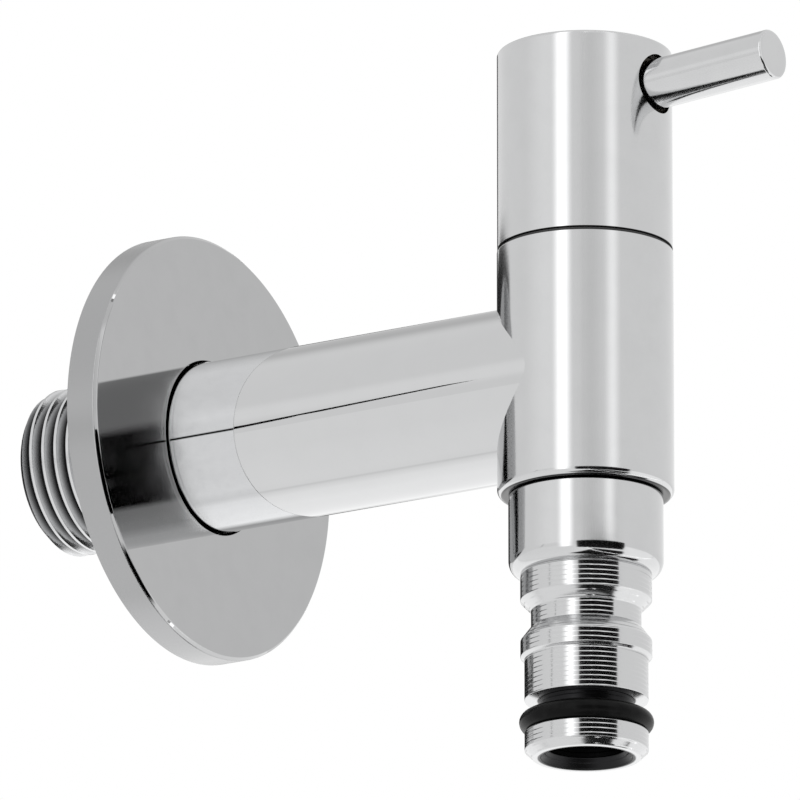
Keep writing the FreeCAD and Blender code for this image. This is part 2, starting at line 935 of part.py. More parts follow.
def makeOutletWasher():
    body = newBody("outlet_washer")
    outer = bushThread - size("washerInset")
    turned(body, rectangle(size("bushBore") / 2, outer, bushTop, seatTop - size("seatThick")))
    standOnBodyAxis(body)
    return body


def makeNoseWasher():
    body = newBody("nose_washer")
    outer = size("noseThread") / 2 - size("washerInset")
    turned(body, rectangle(size("noseBore") / 2, outer, bushLedge - size("noseWasherThick"), bushLedge))
    standOnBodyAxis(body)
    return body


def noseHeights():
    """Heights down the nose, from the collar's lower face to the tip."""
    steps = ["noseRingHeight", "noseNeckCone", "noseNeckHeight", "noseShoulder", "noseLowerRing",
             "noseStep", "noseShaftHeight", "noseGroove", "noseTipLand", "noseTipCone"]
    heights = [collarLow]
    for step in steps:
        heights.append(heights[-1] - size(step))
    return heights


def makeHoseNose():
    """Quick-coupling nose: ring, locking neck, flared shoulder, shaft, seal groove, tip."""
    body = newBody("hose_nose")
    ring = size("noseRing") / 2
    neck = size("noseNeck") / 2
    shaft = size("noseShaft") / 2
    floor = size("noseGrooveFloor") / 2
    bore = size("noseBore") / 2
    thread = size("noseThread") / 2
    heights = noseHeights()
    top = bushLedge - size("noseWasherThick")
    turned(body, [
        (bore, top),
        (thread, top),
        (thread, heights[0]),
        (ring, heights[0]),
        (ring, heights[1]),
        (neck, heights[2]),
        (neck, heights[3]),
        (ring, heights[4]),
        (ring, heights[5]),
        (shaft, heights[6]),
        (shaft, heights[7]),
        (floor, heights[7]),
        (floor, heights[8]),
        (shaft, heights[8]),
        (shaft, heights[9]),
        (size("noseTipDiameter") / 2, heights[10]),
        (size("noseMouth") / 2, heights[10]),
        (bore, heights[10] + size("noseMouthCone")),
    ])
    standOnBodyAxis(body)
    return body


def makeNoseSeal():
    heights = noseHeights()
    ring = sealRing("nose_o_ring", size("noseSealSection"),
                    size("noseSealDiameter") / 2 - size("noseSealSection") / 2)
    standOnBodyAxis(ring)
    bind(ring, "Placement.Base.z", heights[8] + size("noseSealSection") / 2 + size("runFit"))
    return ring


pieces = [
    makeInletArm(),
    makeWallFlange(),
    makeGripRing(),
    makeWallGasket(),
    makeTapBody(),
    makeHousing(),
    makeHousingSeal(),
    makeSeatSeal(),
    makeFixedDisc(),
    makeMovingDisc(),
    makeSpindle(),
    makeSpindleSeals(),
    makeSlideWasher(),
    makeStopRing(),
    makeSpindleClip(),
    makeGuideRing(),
    makeCap(),
    makeHub(),
    makeLever(),
    makeStud(),
    makeOutletBush(),
    makeOutletWasher(),
    makeNoseWasher(),
    makeHoseNose(),
    makeNoseSeal(),
]

doc.recompute()


def checkDocument():
    for thing in doc.Objects:
        if "Invalid" in thing.State or "Error" in thing.State:
            raise RuntimeError(f"{thing.Label} did not build: {thing.State}")
    for piece in pieces:
        if piece.Shape.isNull() or not piece.Shape.isValid():
            raise RuntimeError(f"{piece.Label} has no valid shape")


checkDocument()
os.makedirs("parts", exist_ok=True)
for piece in pieces:
    piece.Shape.exportStep(f"parts/{piece.Label}.step")
    solids = len(piece.Shape.Solids)
    print(f"{piece.Label}: {solids} solid, {piece.Shape.Volume:.1f} mm3")
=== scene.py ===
# Looks of the garden tap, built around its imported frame.
# Metres, +Z up. The wall is the plane Y = 0 and the tap stands out of it along -Y.
import math
import bpy
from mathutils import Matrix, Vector


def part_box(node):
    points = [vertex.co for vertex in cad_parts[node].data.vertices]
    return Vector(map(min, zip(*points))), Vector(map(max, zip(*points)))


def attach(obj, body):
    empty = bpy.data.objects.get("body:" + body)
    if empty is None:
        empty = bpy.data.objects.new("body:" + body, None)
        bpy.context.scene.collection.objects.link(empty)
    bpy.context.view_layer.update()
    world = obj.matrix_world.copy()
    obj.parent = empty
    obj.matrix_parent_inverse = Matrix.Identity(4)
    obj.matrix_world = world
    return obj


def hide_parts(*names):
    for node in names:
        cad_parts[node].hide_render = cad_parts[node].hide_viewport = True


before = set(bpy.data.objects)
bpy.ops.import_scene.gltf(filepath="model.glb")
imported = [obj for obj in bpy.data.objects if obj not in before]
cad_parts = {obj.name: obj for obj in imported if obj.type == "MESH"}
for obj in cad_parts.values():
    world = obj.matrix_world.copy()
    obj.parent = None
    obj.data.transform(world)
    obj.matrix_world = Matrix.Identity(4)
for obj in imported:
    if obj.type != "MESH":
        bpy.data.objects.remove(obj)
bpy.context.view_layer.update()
bpy.ops.object.select_all(action="DESELECT")

mm = 0.001
bodyLow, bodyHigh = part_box("tap_body")
bodyAxis = Vector((0, (bodyLow.y + bodyHigh.y) / 2, 0))
bodyRadius = (bodyHigh.x - bodyLow.x) / 2 / mm
print("frame loaded,", len(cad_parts), "nodes")


# Modelling helpers

modelling = {
    "sides": 256,            # faces round a turned piece
    "arcSteps": 7,           # faces along a rounded edge
    "hold": 0.12,            # holding ring beside each corner, mm
    "longRun": 0.36,         # a run longer than this gets holding rings, mm
    "edgeBreak": 0.06,       # softened edge of a turned corner, mm
    "edgeSegments": 2,
    "smoothAngle": 32,       # degrees
    "mergeDistance": 0.002,  # mm
}


def roundOff(middle, radius, start, end, steps=modelling["arcSteps"]):
    # points of an arc round (radius, height), from one angle to another in degrees
    turns = [math.radians(start + (end - start) * step / steps) for step in range(steps + 1)]
    return [(middle[0] + radius * math.cos(turn), middle[1] + radius * math.sin(turn)) for turn in turns]


def withHoldingRings(outline, closed):
    # a ring close to both ends of every long run keeps its shading flat
    rings = []
    last = len(outline) if closed else len(outline) - 1
    for index in range(last):
        start = Vector(outline[index])
        end = Vector(outline[(index + 1) % len(outline)])
        rings.append(start)
        if (end - start).length > modelling["longRun"]:
            step = (end - start).normalized() * modelling["hold"]
            rings += [start + step, end - step]
    if not closed:
        rings.append(Vector(outline[-1]))
    return rings


def turnPiece(name, outline, closed=True):
    # circle pulled and scaled along +Z from ring to ring; closed outlines make tubes, open ones make solids
    rings = withHoldingRings(outline, closed)
    bpy.ops.object.select_all(action="DESELECT")
    bpy.ops.mesh.primitive_circle_add(
        vertices=modelling["sides"], radius=rings[0].x * mm, location=(0, 0, rings[0].y * mm),
        fill_type="NOTHING" if closed else "NGON")
    piece = bpy.context.active_object
    piece.name = name
    piece.data.name = name
    bpy.ops.object.mode_set(mode="EDIT")
    bpy.ops.mesh.select_all(action="SELECT")
    ring = rings[0]
    for following in rings[1:] + (rings[:1] if closed else []):
        climb = (following.y - ring.y) * mm
        bpy.ops.mesh.extrude_region_move(TRANSFORM_OT_translate={"value": (0, 0, climb)})
        growth = following.x / ring.x
        bpy.ops.transform.resize(value=(growth, growth, 1), center_override=(0, 0, following.y * mm))
        ring = following
    bpy.ops.mesh.select_all(action="SELECT")
    bpy.ops.mesh.remove_doubles(threshold=modelling["mergeDistance"] * mm)
    bpy.ops.mesh.normals_make_consistent(inside=False)
    bpy.ops.object.mode_set(mode="OBJECT")
    return piece


def applyModifier(piece, kind, **settings):
    bpy.context.view_layer.objects.active = piece
    modifier = piece.modifiers.new(kind.lower(), kind)
    for setting, value in settings.items():
        setattr(modifier, setting, value)
    bpy.ops.object.modifier_apply(modifier=modifier.name)


def breakEdges(piece):
    applyModifier(piece, "BEVEL", width=modelling["edgeBreak"] * mm, segments=modelling["edgeSegments"],
                  limit_method="ANGLE", angle_limit=math.radians(modelling["smoothAngle"]))


def cutWith(piece, cutter):
    applyModifier(piece, "BOOLEAN", operation="DIFFERENCE", solver="EXACT", object=cutter)
    bpy.data.objects.remove(cutter)


def pickOnly(piece):
    bpy.ops.object.select_all(action="DESELECT")
    piece.select_set(True)
    bpy.context.view_layer.objects.active = piece


def applyPlace(piece):
    pickOnly(piece)
    bpy.ops.object.transform_apply(location=True, rotation=True, scale=True)


def placePiece(piece, turn, origin):
    # turn and move the piece, then leave its object at the frame's origin
    applyPlace(piece)
    piece.rotation_euler = turn
    piece.location = origin
    applyPlace(piece)


def standOnBodyAxis(piece):
    placePiece(piece, (0, 0, 0), bodyAxis)


def layAlongArm(piece, origin=(0, 0, 0)):
    placePiece(piece, (math.radians(-90), 0, 0), origin)


def finishPiece(piece, body, nodes, finish):
    pickOnly(piece)
    bpy.ops.object.shade_smooth_by_angle(angle=math.radians(modelling["smoothAngle"]))
    piece.data.materials.clear()
    piece.data.materials.append(finish)
    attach(piece, body)
    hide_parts(*nodes)
    print(piece.name, len(piece.data.polygons), "faces")


# Finishes

class Wire:
    # an output of a node, or a number on its way into one; sums on it add Math nodes
    def __init__(self, finish, socket):
        self.finish = finish
        self.socket = socket

    def sum(self, operation, first, second):
        return self.finish.node("ShaderNodeMath", {"operation": operation}, {0: first, 1: second})

    def __add__(self, other):
        return self.sum("ADD", self, other)

    def __radd__(self, other):
        return self.sum("ADD", other, self)

    def __sub__(self, other):
        return self.sum("SUBTRACT", self, other)

    def __rsub__(self, other):
        return self.sum("SUBTRACT", other, self)

    def __mul__(self, other):
        return self.sum("MULTIPLY", self, other)

    def __pow__(self, other):
        return self.sum("POWER", self, other)


class Finish:
    def __init__(self, name):
        self.material = bpy.data.materials.new(name)
        self.material.use_nodes = True
        self.tree = self.material.node_tree
        self.shader = self.tree.nodes["Principled BSDF"]

    def node(self, kind, settings, inputs, output=0):
        made = self.tree.nodes.new(kind)
        for setting, value in settings.items():
            if setting == "stops":
                self.fillRamp(made.color_ramp, value)
            else:
                setattr(made, setting, value)
        for socket, value in inputs.items():
            self.feed(made.inputs[socket], value)
        return Wire(self, made.outputs[output])

    def fillRamp(self, ramp, stops):
        while len(ramp.elements) < len(stops):
            ramp.elements.new(1.0)
        for element, (position, grey) in zip(ramp.elements, stops):
            element.position = position
            element.color = (grey, grey, grey, 1)

    def feed(self, socket, value):
        if isinstance(value, Wire):
            self.tree.links.new(value.socket, socket)
        else:
            socket.default_value = value

    def set(self, **sockets):
        for name, value in sockets.items():
            self.feed(self.shader.inputs[name.replace("_", " ")], value)

    def place(self, scale=(1, 1, 1), origin=(0, 0, 0), turn=(0, 0, 0)):
        # object coordinates in millimetres, moved to an origin and stretched
        point = self.node("ShaderNodeTexCoord", {}, {}, "Object")
        sizes = [stretch / mm for stretch in scale]
        shift = [-start * size for start, size in zip(origin, sizes)]
        return self.node("ShaderNodeMapping", {}, {"Vector": point, "Location": shift, "Rotation": turn,
                                                   "Scale": sizes})

    def part(self, axis, origin=(0, 0, 0)):
        # one of the object coordinates, in millimetres
        return self.node("ShaderNodeSeparateXYZ", {}, {0: self.place(origin=origin)}, axis)

    def radius(self, first, second, origin=(0, 0, 0)):
        across = self.part(first, origin)
        along = self.part(second, origin)
        return (across * across + along * along) ** 0.5

    def noise(self, place, scale, detail=3.0, rough=0.5):
        return self.node("ShaderNodeTexNoise", {}, {"Vector": place, "Scale": scale, "Detail": detail,
                                                    "Roughness": rough}, "Fac")

    def between(self, value, low, high, start=0.0, end=1.0):
        # value stretched from low..high to start..end, and held there outside it
        return self.node("ShaderNodeMapRange", {"clamp": True}, {
            "Value": value, "From Min": low, "From Max": high, "To Min": start, "To Max": end})

    def mix(self, amount, first, second):
        return self.node("ShaderNodeMix", {"data_type": "RGBA"}, {
            "Factor": amount, 6: (*first, 1) if isinstance(first, tuple) else first,
            7: (*second, 1) if isinstance(second, tuple) else second}, 2)

    def show(self, shader):
        self.feed(self.tree.nodes["Material Output"].inputs["Surface"], shader)

    def bump(self, height, strength, depth):
        self.set(Normal=self.node("ShaderNodeBump", {}, {"Height": height, "Strength": strength,
                                                         "Distance": depth * mm}))


polishing = {
    "lineStretch": 0.02,     # noise cells to the millimetre along a line
    "lineDetail": 2.0,
    "hazeScale": 0.3,
    "hazeDetail": 4.0,
    "hazeGrain": 0.6,
    "haze": (0.4, 0.8),      # noise at which the haze starts and is full
}

chrome = {
    "colour": (0.563, 0.566, 0.570),
    "hazeColour": (0.543, 0.546, 0.550),
    "roughness": 0.10,
    "hazeRoughness": 0.13,
    "polishLines": 5.0,      # lines to the millimetre
    "polishDepth": 0.0008,   # mm
}

mirrorChrome = {
    "colour": (0.563, 0.566, 0.570),
    "hazeColour": (0.553, 0.556, 0.560),
    "roughness": 0.02,
    "hazeRoughness": 0.03,
    "polishLines": 3.0,
    "polishDepth": 0.0001,
}

flangeChrome = {
    "colour": (0.434, 0.436, 0.439),
    "hazeColour": (0.419, 0.421, 0.424),
    "roughness": 0.02,
    "hazeRoughness": 0.03,
    "polishLines": 3.0,
    "polishDepth": 0.0001,
    "rimColour": (0.369, 0.371, 0.374),
    "rimRoughness": 0.24,    # the rim is buffed less than the face
    "rimDepth": 0.15,        # how far in from the edge the rim's finish starts, mm
}

# painted shade: a near-black band along the seam under the cap and at the body's foot, where the joints fall
# into shadow
seamShade = {
    "colour": (0.012, 0.012, 0.012),
    "capReach": 0.065,       # how far the dark of a seam creeps out of it, mm
    "footReach": 0.06,
    "fade": 0.05,
}


def polishedChrome(name, look, axis, turn=(0, 0, 0), rimRadius=None, shadedSeams=()):
    # plated and buffed on the lathe: faint lines run round the axis, under a little hand haze
    finish = Finish(name)
    along = [polishing["lineStretch"]] * 3
    along["XYZ".index(axis)] = look["polishLines"]
    lines = finish.noise(finish.place(along, turn=turn), 1.0, polishing["lineDetail"])
    cloud = finish.noise(finish.place(), polishing["hazeScale"], polishing["hazeDetail"],
                         polishing["hazeGrain"])
    haze = finish.between(cloud, *polishing["haze"])
    colour = finish.mix(haze, look["colour"], look["hazeColour"])
    roughness = look["roughness"] + haze * (look["hazeRoughness"] - look["roughness"])
    if rimRadius:
        edge = finish.between(finish.radius("X", "Z"), rimRadius - look["rimDepth"], rimRadius)
        colour = finish.mix(edge, colour, look["rimColour"])
        roughness = roughness + edge * look["rimRoughness"]
    # painted shade: near each seam the colour goes near-black
    for level, reach in shadedSeams:
        away = finish.node("ShaderNodeMath", {"operation": "ABSOLUTE"}, {0: finish.part("Z") - level})
        unshaded = finish.between(away, reach, reach + seamShade["fade"])
        colour = finish.mix(unshaded, seamShade["colour"], colour)
    finish.set(Base_Color=colour, Metallic=1.0, Roughness=roughness)
    finish.bump(lines, 1.0, look["polishDepth"])
    return finish.material


turnedChrome = {
    "colour": (0.563, 0.566, 0.570),
    "roughness": 0.12,
    "recessShadeColour": (0.02, 0.02, 0.021),
    "recessRoughness": 0.35,
    "recessShadeRadius": 6.0,      # grooves and mouth below this radius get painted shade, mm
    "recessShadeFade": 0.1,        # mm
    "markPitch": 0.6,        # mm
    "markRise": 0.8,         # share of the pitch that rises slowly
    "markDepth": 0.035,      # mm
    "markWander": 0.6,
    "wanderDetail": 2.0,
    "wanderScale": 0.7,
    "fineLines": (0.02, 0.02, 6.0),   # to the millimetre along X, Y and Z
    "fineDetail": 2.0,
    "fineShare": 0.15,       # height of the fine lines against the marks
}


def toolMarkedChrome(name):
    # plated over the lathe's own feed marks: each mark rises slowly and drops back quickly
    look = turnedChrome
    finish = Finish(name)
    wavesPerUnit = 20 / (2 * math.pi)   # of the wave texture at scale 1
    saw = finish.node("ShaderNodeTexWave", {
        "wave_type": "BANDS", "bands_direction": "Z", "wave_profile": "SAW"}, {
        "Vector": finish.place(), "Scale": 1 / look["markPitch"] / wavesPerUnit,
        "Distortion": look["markWander"], "Detail": look["wanderDetail"],
        "Detail Scale": look["wanderScale"]}, "Fac")
    rise = finish.between(saw, 0, look["markRise"])
    fall = finish.between(saw, look["markRise"], 1, 1, 0)
    fine = finish.noise(finish.place(look["fineLines"]), 1.0, look["fineDetail"])
    # painted shade: grooves and the mouth below the recess radius are coloured near-black and made rougher
    unshaded = finish.between(finish.radius("X", "Y", tuple(bodyAxis)), look["recessShadeRadius"] - look["recessShadeFade"],
                           look["recessShadeRadius"] + look["recessShadeFade"])
    finish.set(Base_Color=finish.mix(unshaded, look["recessShadeColour"], look["colour"]), Metallic=1.0,
               Roughness=look["recessRoughness"] - unshaded * (look["recessRoughness"] - look["roughness"]))
    finish.bump(rise * fall + fine * look["fineShare"], 1.0, look["markDepth"])
    return finish.material


threadChrome = {
    "colour": (0.60, 0.604, 0.61),
    "roughness": 0.14,
    "rootShadeColour": (0.08, 0.08, 0.082),
    "rootRoughness": 0.22,
    "rootRadius": 9.4,         # mm
    "crestRadius": 10.3,       # mm
    "endFace": (0.06, 0.03),   # where the painted root shade gives way to the end face, starting and full, mm from the end
    "grain": 3.0,              # to the millimetre
    "grainDepth": 0.01,        # mm
    "grainRoughness": 0.05,
}


def cutThreadChrome(name):
    # painted shade darkens the thread roots, which are also left rougher
    look = threadChrome
    finish = Finish(name)
    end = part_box("inlet_arm")[1].y / mm
    crest = finish.between(finish.radius("X", "Z"), look["rootRadius"], look["crestRadius"])
    face = finish.between(finish.part("Y"), *[end - depth for depth in look["endFace"]])
    unshaded = crest + face * (1 - crest)
    grain = finish.noise(finish.place(), look["grain"])
    polish = look["rootRoughness"] - unshaded * (look["rootRoughness"] - look["roughness"])
    finish.set(Base_Color=finish.mix(unshaded, look["rootShadeColour"], look["colour"]), Metallic=1.0,
               Roughness=polish + grain * look["grainRoughness"])
    finish.bump(grain, 1.0, look["grainDepth"])
    return finish.material


rubber = {
    "colour": (0.004, 0.004, 0.004),
    "roughness": 0.25,
    "shine": 0.07,
    "dustColour": (0.010, 0.010, 0.010),
    "dustRoughness": 0.15,
    "dustScale": 0.5,
    "dust": (0.5, 0.8),      # noise at which the dust starts and is full
    "grain": 6.0,            # to the millimetre
    "grainDepth": 0.004,     # mm
    "grainRoughness": 0.06,
}


def blackRubber(name):
    finish = Finish(name)
    grain = finish.noise(finish.place(), rubber["grain"])
    dust = finish.between(finish.noise(finish.place(), rubber["dustScale"]), *rubber["dust"])
    dull = rubber["roughness"] + dust * rubber["dustRoughness"] + grain * rubber["grainRoughness"]
    finish.set(Base_Color=finish.mix(dust, rubber["colour"], rubber["dustColour"]), Roughness=dull,
               Specular_IOR_Level=rubber["shine"])
    finish.bump(grain, 1.0, rubber["grainDepth"])
    return finish.material


bareMetal = {
    "tarnishScale": 0.25,
    "tarnishDetail": 5.0,
    "tarnishGrain": 0.65,
    "tarnishRoughness": 0.12,
    "feedLines": (0.05, 0.05, 7.0),   # to the millimetre along X, Y and Z
    "feedDetail": 2.0,
    "feedDepth": 0.004,      # mm
}


def plainMetal(name, colour, darkColour, roughness):
    # turned but not plated: feed lines and a little tarnish
    look = bareMetal
    finish = Finish(name)
    tarnish = finish.noise(finish.place(), look["tarnishScale"], look["tarnishDetail"], look["tarnishGrain"])
    lines = finish.noise(finish.place(look["feedLines"]), 1.0, look["feedDetail"])
    finish.set(Base_Color=finish.mix(tarnish, colour, darkColour), Metallic=1.0,
               Roughness=roughness + tarnish * look["tarnishRoughness"])
    finish.bump(lines, 1.0, look["feedDepth"])
    return finish.material


plainPlastic = {
    "cloudScale": 0.6,
    "cloudDetail": 4.0,
    "grain": 9.0,            # to the millimetre
    "grainDepth": 0.006,     # mm
    "grainRoughness": 0.1,
}


def dullPlastic(name, colour, paleColour, roughness):
    look = plainPlastic
    finish = Finish(name)
    cloud = finish.noise(finish.place(), look["cloudScale"], look["cloudDetail"])
    grain = finish.noise(finish.place(), look["grain"])
    finish.set(Base_Color=finish.mix(cloud, colour, paleColour),
               Roughness=roughness + grain * look["grainRoughness"])
    finish.bump(grain, 1.0, look["grainDepth"])
    return finish.material


innerLooks = {
    # colour, second colour and roughness
    "turned_brass": ((0.62, 0.44, 0.20), (0.44, 0.29, 0.12), 0.22),
    # painted shade: the hub is brass coloured near-black, for the dark inside of the cap seen through the
    # lever hole
    "painted_shade_brass": ((0.035, 0.028, 0.019), (0.022, 0.018, 0.013), 0.35),
    "spring_steel": ((0.50, 0.51, 0.52), (0.36, 0.36, 0.37), 0.25),
    # black acetal; on the guide ring its black also stands in for painted shade in the gap at the cap's joint
    "black_acetal_gap_shade": ((0.02, 0.02, 0.021), (0.035, 0.035, 0.036), 0.38),
    "red_fibre": ((0.42, 0.12, 0.07), (0.30, 0.08, 0.05), 0.7),
    "lapped_ceramic": ((0.80, 0.79, 0.75), (0.72, 0.71, 0.68), 0.12),
}

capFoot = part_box("handle_cap")[0].z
# the upright carries painted shade at the seam under the cap and at its foot
bodyChrome = polishedChrome("chrome_upright", chrome, "Z", shadedSeams=[
    ((capFoot + bodyHigh.z) / 2 / mm, (capFoot - bodyHigh.z) / 2 / mm + seamShade["capReach"]),
    (bodyLow.z / mm, seamShade["footReach"]),
])
armChrome = polishedChrome("chrome_arm", mirrorChrome, "Y")
faceChrome = polishedChrome("chrome_flange", flangeChrome, "Y", rimRadius=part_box("wall_flange")[1].x / mm)
noseChrome = toolMarkedChrome("chrome_nose")
pipeChrome = cutThreadChrome("chrome_thread")
sealRubber = blackRubber("black_rubber")
turnedBrass = plainMetal("turned_brass", *innerLooks["turned_brass"])
# brass with painted shade for the hub
paintedShadeBrass = plainMetal("painted_shade_brass", *innerLooks["painted_shade_brass"])
springSteel = plainMetal("spring_steel", *innerLooks["spring_steel"])
blackAcetalGapShade = dullPlastic("black_acetal_gap_shade", *innerLooks["black_acetal_gap_shade"])
redFibre = dullPlastic("red_fibre", *innerLooks["red_fibre"])
lappedCeramic = dullPlastic("lapped_ceramic", *innerLooks["lapped_ceramic"])
print("finishes made")


# Pieces

bodySizes = {
    "footRound": 0.8,
    "wall": 2.45,
    "rim": 1.55,
    "rimDepth": 1.2,
    "footWall": 2.5,
    "seatTop": -6.2,
    "seatThick": 2.0,
    "seatBore": 4.6,
    "portRadius": 6.55,
}


def makeBody():
    top = bodyHigh.z / mm
    foot = bodyLow.z / mm
    edge = bodySizes["footRound"]
    chamber = bodyRadius - bodySizes["wall"]
    counterbore = bodyRadius - bodySizes["rim"]
    outlet = bodyRadius - bodySizes["footWall"]
    seatLow = bodySizes["seatTop"] - bodySizes["seatThick"]
    outline = [(outlet, foot)]
    outline += roundOff((bodyRadius - edge, foot + edge), edge, -90, 0)
    outline += [
        (bodyRadius, top),
        (counterbore, top),
        (counterbore, top - bodySizes["rimDepth"]),
        (chamber, top - bodySizes["rimDepth"]),
        (chamber, bodySizes["seatTop"]),
        (bodySizes["seatBore"], bodySizes["seatTop"]),
        (bodySizes["seatBore"], seatLow),
        (outlet, seatLow),
    ]
    piece = turnPiece("upright_body", outline)
    breakEdges(piece)
    standOnBodyAxis(piece)
    port = turnPiece("port_cutter", [(bodySizes["portRadius"], 0), (bodySizes["portRadius"], bodyRadius * 2)],
                     closed=False)
    layAlongArm(port, bodyAxis)
    cutWith(piece, port)
    finishPiece(piece, "tap", ["tap_body"], bodyChrome)


capSizes = {
    "edgeRound": 0.35,
    "wall": 1.4,
    "roof": 2.0,
    "holeRadius": 3.7,
}

leverSizes = {
    "radius": 3.1,
    "start": 7.0,
    "reach": 27.4,
    "drop": 6.2,             # from the cap's top to the lever's axis
    "tilt": 3.8,             # degrees above level
    "tipRound": 0.4,
    "holeRadius": 2.55,
    "holeDepth": 13.5,
}


def aimAlongLever(piece):
    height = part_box("handle_cap")[1].z - leverSizes["drop"] * mm
    placePiece(piece, (math.radians(90 - leverSizes["tilt"]), 0, 0), bodyAxis + Vector((0, 0, height)))


def makeCap():
    low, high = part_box("handle_cap")
    radius = (high.x - low.x) / 2 / mm
    top = high.z / mm
    inner = radius - capSizes["wall"]
    edge = capSizes["edgeRound"]
    outline = [
        (inner - modelling["hold"], top - capSizes["roof"]),
        (inner, top - capSizes["roof"]),
        (inner, low.z / mm),
        (radius, low.z / mm),
    ]
    outline += roundOff((radius - edge, top - edge), edge, 0, 90)
    outline.append((radius - edge - modelling["hold"], top))
    piece = turnPiece("handle_shell", outline, closed=False)
    breakEdges(piece)
    standOnBodyAxis(piece)
    hole = turnPiece("lever_hole_cutter", [(capSizes["holeRadius"], leverSizes["start"]),
                                           (capSizes["holeRadius"], radius * 2)], closed=False)
    aimAlongLever(hole)
    cutWith(piece, hole)
    finishPiece(piece, "handle", ["handle_cap"], bodyChrome)


def makeLever():
    radius = leverSizes["radius"]
    tip = leverSizes["reach"]
    edge = leverSizes["tipRound"]
    outline = [
        (leverSizes["holeRadius"], leverSizes["holeDepth"]),
        (leverSizes["holeRadius"], leverSizes["start"]),
        (radius, leverSizes["start"]),
    ]
    outline += roundOff((radius - edge, tip - edge), edge, 0, 90)
    outline.append((radius - edge - modelling["hold"], tip))
    piece = turnPiece("lever_pin", outline, closed=False)
    breakEdges(piece)
    aimAlongLever(piece)
    finishPiece(piece, "handle", ["lever_rod"],
                polishedChrome("chrome_lever", chrome, "Z", (math.radians(leverSizes["tilt"] - 90), 0, 0)))


armSizes = {
    "radius": 10.65,
    "shoulder": 0.8,         # where the thread's run-in starts, mm into the wall
    "bore": 7.0,
    "boreEnd": -41.1,
    "neck": 5.2,
    "spigot": 6.5,
    "spigotEnd": 8.4,        # how near the spigot comes to the body's axis
    "spigotRoot": 6.0,       # how far it reaches back into the arm from the body's face
    "saddleBite": 0.02,      # the brazed joint with the body shows no gap
}


def makeArm():
    axis = bodyAxis.y / mm
    radius = armSizes["radius"]
    tube = turnPiece("inlet_tube", [
        (radius, armSizes["shoulder"]),
        (radius, axis),
        (armSizes["neck"], axis),
        (armSizes["neck"], armSizes["boreEnd"]),
        (armSizes["bore"], armSizes["boreEnd"]),
        (armSizes["bore"], armSizes["shoulder"]),
    ])
    layAlongArm(tube)
    saddle = turnPiece("saddle_cutter", [(bodyRadius - armSizes["saddleBite"], -radius * 2),
                                         (bodyRadius - armSizes["saddleBite"], radius * 2)], closed=False)
    standOnBodyAxis(saddle)
    cutWith(tube, saddle)
    finishPiece(tube, "tap", ["inlet_arm"], armChrome)
    root = axis + bodyRadius + armSizes["spigotRoot"]
    spigot = turnPiece("inlet_spigot", [
        (armSizes["spigot"], axis + armSizes["spigotEnd"]),
        (armSizes["spigot"], root),
        (armSizes["neck"], root),
        (armSizes["neck"], axis + armSizes["spigotEnd"]),
    ])
    layAlongArm(spigot)
    finishPiece(spigot, "tap", ["inlet_arm"], armChrome)


def makePipeThread():
    # the frame's own helix, cut off at the shoulder
    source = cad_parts["inlet_arm"]
    piece = bpy.data.objects.new("inlet_thread", source.data.copy())
    bpy.context.scene.collection.objects.link(piece)
    pickOnly(piece)
    bpy.ops.mesh.customdata_custom_splitnormals_clear()
    bpy.ops.object.mode_set(mode="EDIT")
    bpy.ops.mesh.select_all(action="SELECT")
    bpy.ops.mesh.remove_doubles(threshold=modelling["mergeDistance"] * mm)
    bpy.ops.mesh.select_all(action="SELECT")
    bpy.ops.mesh.bisect(plane_co=(0, armSizes["shoulder"] * mm, 0), plane_no=(0, 1, 0), clear_inner=True,
                        use_fill=True)
    bpy.ops.mesh.select_all(action="SELECT")
    bpy.ops.mesh.normals_make_consistent(inside=False)
    bpy.ops.object.mode_set(mode="OBJECT")
    finishPiece(piece, "tap", ["inlet_arm"], pipeChrome)


flangeSizes = {
    "thick": 4.2,
    "plate": 1.6,
    "rim": 2.0,
    "bevel": 0.4,
    "hole": 11.0,
    "hub": 13.8,
    "hubSet": 0.6,
    "grooveRadius": 12.41,
    "grooveHalf": 0.88,
    "grooveMiddle": -2.15,
}


def makeFlange():
    low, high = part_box("wall_flange")
    rim = (high.x - low.x) / 2 / mm
    front = low.y / mm
    bevel = flangeSizes["bevel"]
    grooveFront = flangeSizes["grooveMiddle"] - flangeSizes["grooveHalf"]
    grooveBack = flangeSizes["grooveMiddle"] + flangeSizes["grooveHalf"]
    plateBack = front + flangeSizes["plate"]
    piece = turnPiece("flange_disc", [
        (rim, 0),
        (rim, front + bevel),
        (rim - bevel, front),
        (flangeSizes["hole"], front),
        (flangeSizes["hole"], grooveFront),
        (flangeSizes["grooveRadius"], grooveFront),
        (flangeSizes["grooveRadius"], grooveBack),
        (flangeSizes["hole"], grooveBack),
        (flangeSizes["hole"], -flangeSizes["hubSet"]),
        (flangeSizes["hub"], -flangeSizes["hubSet"]),
        (flangeSizes["hub"], plateBack),
        (rim - flangeSizes["rim"], plateBack),
        (rim - flangeSizes["rim"], 0),
    ])
    breakEdges(piece)
    layAlongArm(piece)
    finishPiece(piece, "flange", ["wall_flange"], faceChrome)


collarSizes = {
    "edgeRound": 1.45,       # rounded lower edge, mm inwards
    "edgeStretch": 1.25,     # and how much taller than wide it is
    "edgeSteps": 12,
    "seamChamfer": 0.2,      # the small chamfer that makes the seam under the body
    "threadRadius": 8.3,
    "noseThread": 6.65,
    "bore": 5.2,
    "ledge": 2.7,
}


